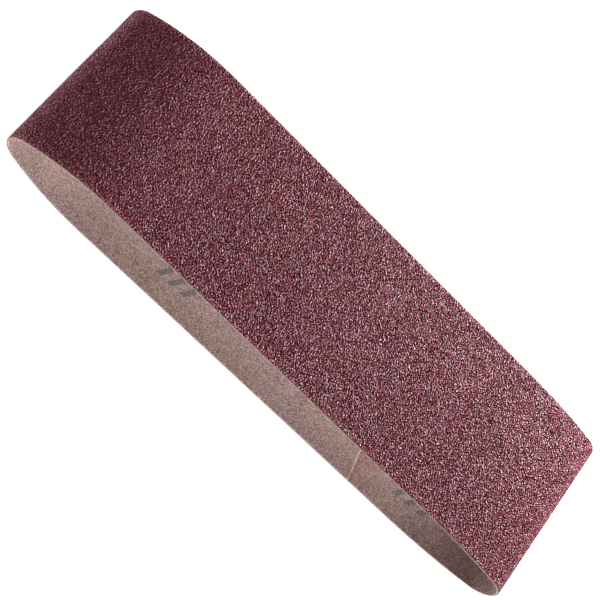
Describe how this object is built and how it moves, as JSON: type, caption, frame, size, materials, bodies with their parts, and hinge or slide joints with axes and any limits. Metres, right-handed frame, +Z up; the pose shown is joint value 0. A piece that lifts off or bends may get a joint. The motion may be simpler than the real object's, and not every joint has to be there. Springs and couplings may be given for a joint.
{
  "type": "sanding belt",
  "caption": "Endless cloth sanding belt lying loose as a flattened loop: coarse grain outside, woven backing inside, slanted lap splice and plain printed direction marks.",
  "frame": {"origin": "under the middle of the loop, on the surface that it lies on", "axes": "+X along the loop towards its lower end, +Y across the belt's width, +Z up from the surface"},
  "size_m": [0.2562, 0.075, 0.0366],
  "materials": {
    "woven_cloth": "stiff woven cotton and polyester cloth, resin-filled, pinkish grey",
    "make_resin": "cured dark red-brown resin",
    "grain": "coarse brown-red aluminium oxide grain",
    "size_resin": "thin glossy maroon resin over the grain",
    "splice_glue": "cured reddish-brown polyurethane glue",
    "printing_ink": "worn blue-grey ink"
  },
  "bodies": {
    "root": {"backing_cloth": "woven_cloth", "make_coat": "make_resin", "abrasive_grain": "grain", "size_coat": "size_resin", "splice_adhesive": "splice_glue", "direction_marks": "printing_ink"}
  },
  "joints": []
}
